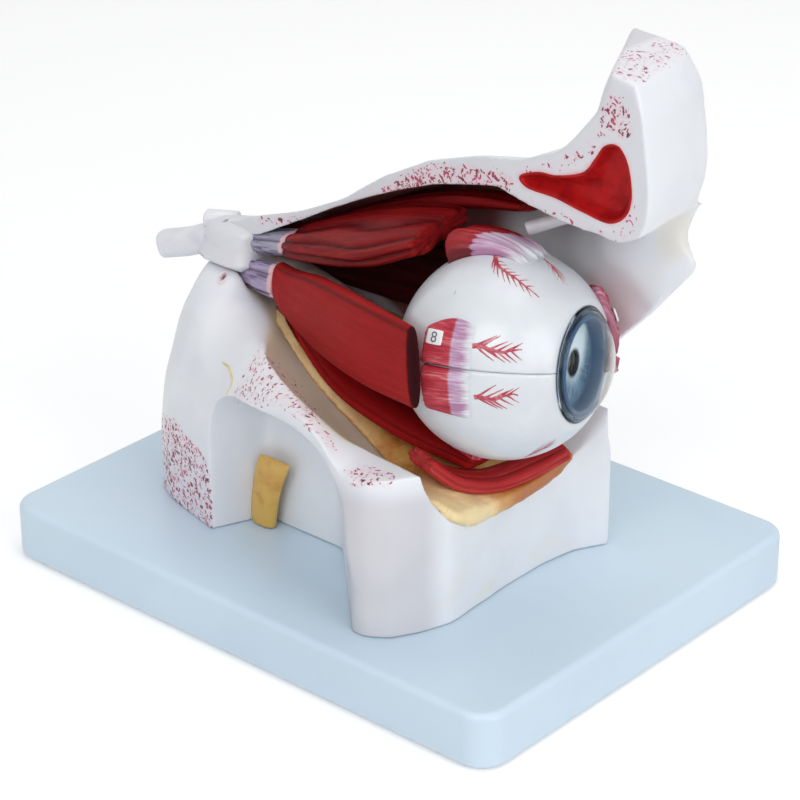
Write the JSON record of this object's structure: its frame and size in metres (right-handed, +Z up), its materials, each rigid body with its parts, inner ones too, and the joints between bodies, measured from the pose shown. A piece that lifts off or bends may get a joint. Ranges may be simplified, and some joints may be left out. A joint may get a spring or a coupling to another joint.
{
  "type": "eye anatomy model",
  "caption": "Enlarged right eye in a cut-open bony orbit on a board; the eyeball draws out and opens, and its cornea, lens and outer muscles come off",
  "frame": {"origin": "centre of the part's box on the surface that the feet stand on", "axes": "+X the way the eye looks, +Y towards the nose, +Z up"},
  "size_m": [0.26, 0.197, 0.2482],
  "materials": {
    "board": "satin pale blue",
    "rubber": "matt",
    "metal": "plain",
    "bone": "glossy white, speckled on the cut faces",
    "sinus_red": "glossy paint",
    "nerve_yellow": "glossy paint",
    "fat": "glossy paint, ochre to orange",
    "sclera_white": "glossy white with painted vessels",
    "choroid_brown": "matt dark red-brown",
    "vitreous_clear": "clear casting",
    "lens_clear": "clear, polished",
    "iris_blue": "painted, steel blue",
    "cornea_clear": "clear, polished",
    "insertion_red": "painted, red streaks into lilac",
    "nerve_white": "glossy, faintly lilac",
    "tendon_lilac": "painted, purple streaks",
    "muscle_red": "glossy deep red"
  },
  "bodies": {
    "orbit": {"base_board": "board", "foot_1": "rubber", "foot_2": "rubber", "foot_3": "rubber", "foot_4": "rubber", "base_screw_1": "metal", "base_screw_2": "metal", "base_screw_3": "metal", "superior_pin": "metal", "lateral_pin": "metal", "lower_orbit_bone": "bone", "frontal_bone": "bone", "medial_wall": "bone", "sinus_lining": "sinus_red", "infraorbital_nerve": "nerve_yellow", "orbital_fat": "fat", "optic_nerve": "nerve_white", "optic_canal_tube": "nerve_white", "artery_stub": "nerve_white", "superior_oblique_tendon": "nerve_white", "superior_tendon_stub": "tendon_lilac", "lateral_tendon_stub": "tendon_lilac", "medial_rectus": "muscle_red", "inferior_rectus": "muscle_red", "levator": "muscle_red", "inferior_oblique": "muscle_red"},
    "eyeball_lower": {"sclera_lower": "sclera_white", "choroid_lower": "choroid_brown", "lateral_insertion_lower": "insertion_red", "medial_insertion_lower": "insertion_red", "inferior_insertion": "insertion_red", "optic_nerve_stub": "nerve_white", "seam_peg_1": "metal", "seam_peg_2": "metal"},
    "eyeball_upper": {"sclera_upper": "sclera_white", "choroid_upper": "choroid_brown", "lateral_insertion_upper": "insertion_red", "medial_insertion_upper": "insertion_red", "superior_insertion": "insertion_red"},
    "vitreous": {"vitreous_body": "vitreous_clear"},
    "lens_body": {"lens": "lens_clear"},
    "front_chamber": {"cornea": "cornea_clear", "iris": "iris_blue"},
    "lateral_muscle": {"lateral_rectus": "muscle_red"},
    "superior_muscle": {"superior_rectus": "muscle_red"}
  },
  "joints": [
    {"name": "eyeball_out", "type": "slide", "parent": "orbit", "child": "eyeball_lower", "axis": [0.9659, -0.2588, 0], "range_m": [0, 0.18]},
    {"name": "upper_half_lift", "type": "slide", "parent": "eyeball_lower", "child": "eyeball_upper", "axis": [-0.13, 0.2276, 0.965], "range_m": [0, 0.036]},
    {"name": "vitreous_lift", "type": "slide", "parent": "eyeball_lower", "child": "vitreous", "axis": [-0.13, 0.2276, 0.965], "range_m": [0, 0.018]},
    {"name": "cornea_pull", "type": "slide", "parent": "eyeball_lower", "child": "front_chamber", "axis": [0.9732, 0.2157, 0.0802], "range_m": [0, 0.06]},
    {"name": "lens_pull", "type": "slide", "parent": "vitreous", "child": "lens_body", "axis": [0.9732, 0.2157, 0.0802], "range_m": [0, 0.03]},
    {"name": "lateral_rectus_off", "type": "slide", "parent": "orbit", "child": "lateral_muscle", "axis": [0, -0.98, 0.199], "range_m": [0, 0.08]},
    {"name": "superior_rectus_off", "type": "slide", "parent": "orbit", "child": "superior_muscle", "axis": [0, -0.98, 0.199], "range_m": [0, 0.08]}
  ],
  "couplings": [
    {"joint": "upper_half_lift", "follows": "eyeball_out", "ratio": 0.2},
    {"joint": "vitreous_lift", "follows": "eyeball_out", "ratio": 0.1},
    {"joint": "lens_pull", "follows": "cornea_pull", "ratio": 0.5}
  ]
}
